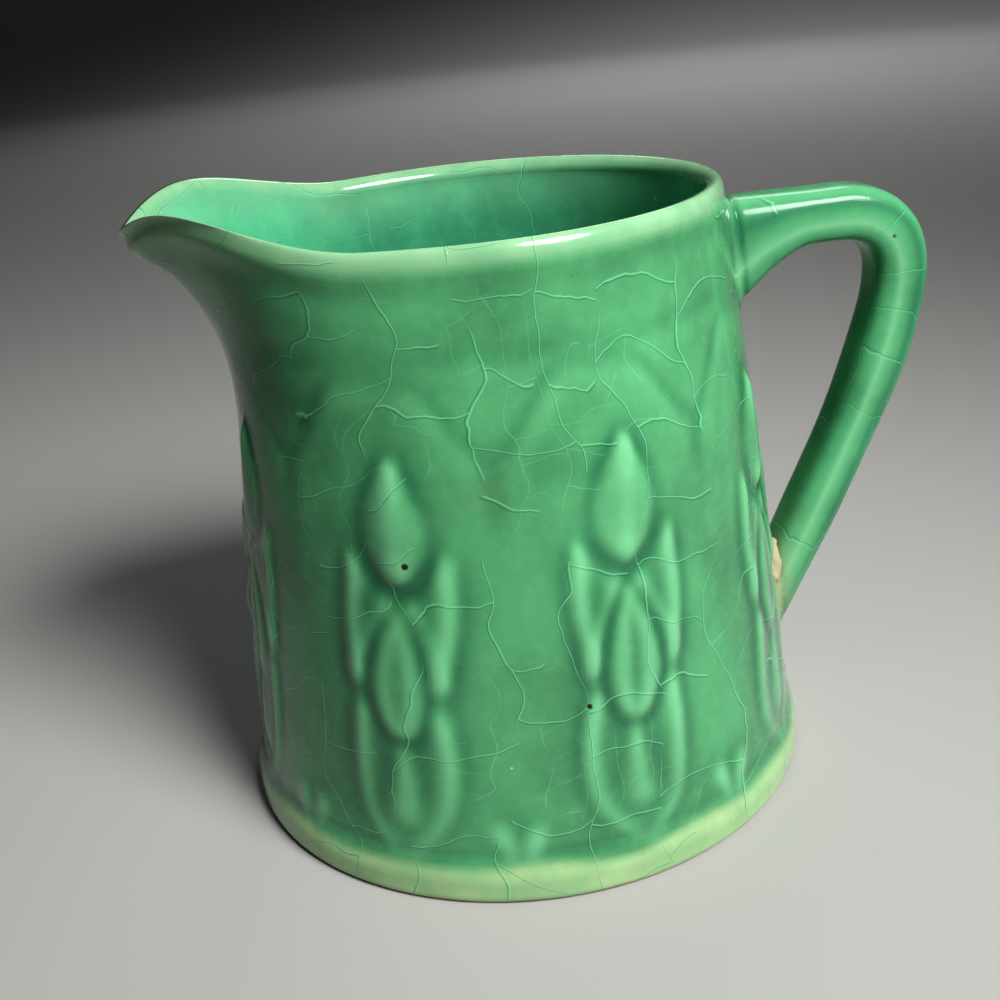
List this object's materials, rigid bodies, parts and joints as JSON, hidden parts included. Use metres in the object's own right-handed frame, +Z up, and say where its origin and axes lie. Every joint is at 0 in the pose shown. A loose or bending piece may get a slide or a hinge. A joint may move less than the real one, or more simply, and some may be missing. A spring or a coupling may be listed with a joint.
{
  "type": "ceramic pitcher",
  "caption": "Small glazed pitcher with a tapered wall, pouring spout, flanged foot, loop handle and low leaf relief.",
  "frame": {"origin": "on the body's axis in the plane of the foot", "axes": "+Z up, +X from the axis towards the handle, -X towards the spout"},
  "size_m": [0.166, 0.1266, 0.1339],
  "materials": {
    "green_glaze": "glossy crazed jade green glaze",
    "handle_glaze": "glossy green glaze, paler along the ridges",
    "foot_glaze": "thin glossy yellow-green glaze",
    "relief_glaze": "glossy green glaze, thin over the high points",
    "bare_clay": "unglazed buff clay"
  },
  "bodies": {
    "root": {"body_wall": "green_glaze", "pouring_spout": "green_glaze", "foot_ring": "foot_glaze", "base_floor": "bare_clay", "handle": "handle_glaze", "handle_upper_joint": "handle_glaze", "handle_lower_joint": "handle_glaze", "leaf_relief_1": "relief_glaze", "leaf_relief_2": "relief_glaze", "leaf_relief_3": "relief_glaze", "leaf_relief_4": "relief_glaze", "leaf_relief_5": "relief_glaze", "leaf_relief_6": "relief_glaze", "leaf_relief_7": "relief_glaze", "leaf_relief_8": "relief_glaze"}
  },
  "joints": []
}
